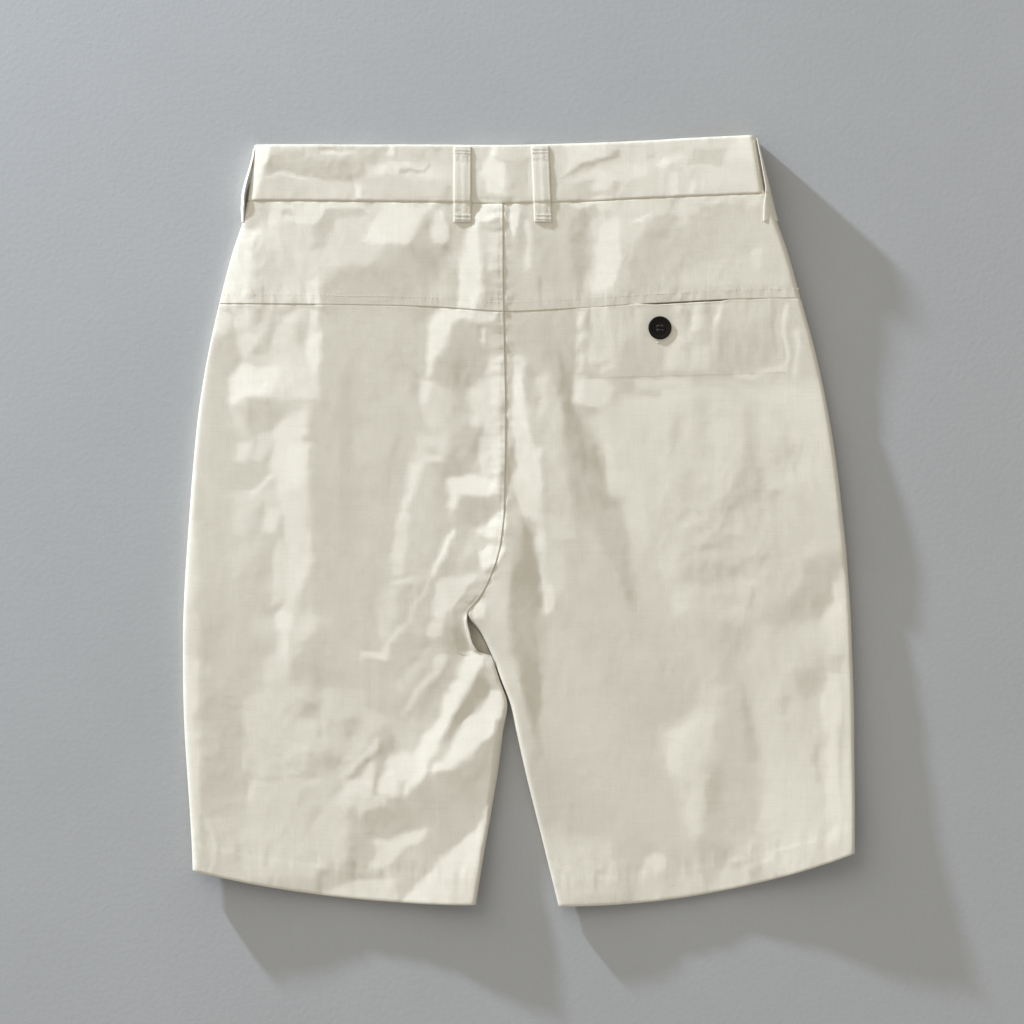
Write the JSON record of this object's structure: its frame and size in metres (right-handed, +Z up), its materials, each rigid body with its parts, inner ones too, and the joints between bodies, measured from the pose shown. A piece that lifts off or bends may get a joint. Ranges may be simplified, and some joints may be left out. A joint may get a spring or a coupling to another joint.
{
  "type": "bermuda shorts laid flat",
  "caption": "Linen bermuda shorts laid flat with the back up: waistband with belt loops, yoke, buttoned back pocket and turned hems.",
  "frame": {"origin": "on the surface that the shorts lie on, under the middle of their outline", "axes": "+Z up, out of the back of the shorts; +Y from the hems to the waist; +X towards the wearer's right"},
  "size_m": [0.5038, 0.5768, 0.0205],
  "materials": {
    "linen": "matt plain-weave linen, off-white",
    "horn": "polished, very dark brown",
    "zip_tape": "matt woven tape"
  },
  "bodies": {
    "root": {"back_left_leg": "linen", "back_right_leg": "linen", "front_left_leg": "linen", "front_right_leg": "linen", "yoke_left": "linen", "yoke_right": "linen", "waistband_back": "linen", "waistband_front_left": "linen", "waistband_front_right": "linen", "belt_loop_back_left": "linen", "belt_loop_back_right": "linen", "belt_loop_front_left": "linen", "belt_loop_front_right": "linen", "belt_loop_side_left": "linen", "belt_loop_side_right": "linen", "back_pocket": "linen", "pocket_button": "horn", "waist_button": "horn", "fly_zip": "zip_tape"}
  },
  "joints": []
}
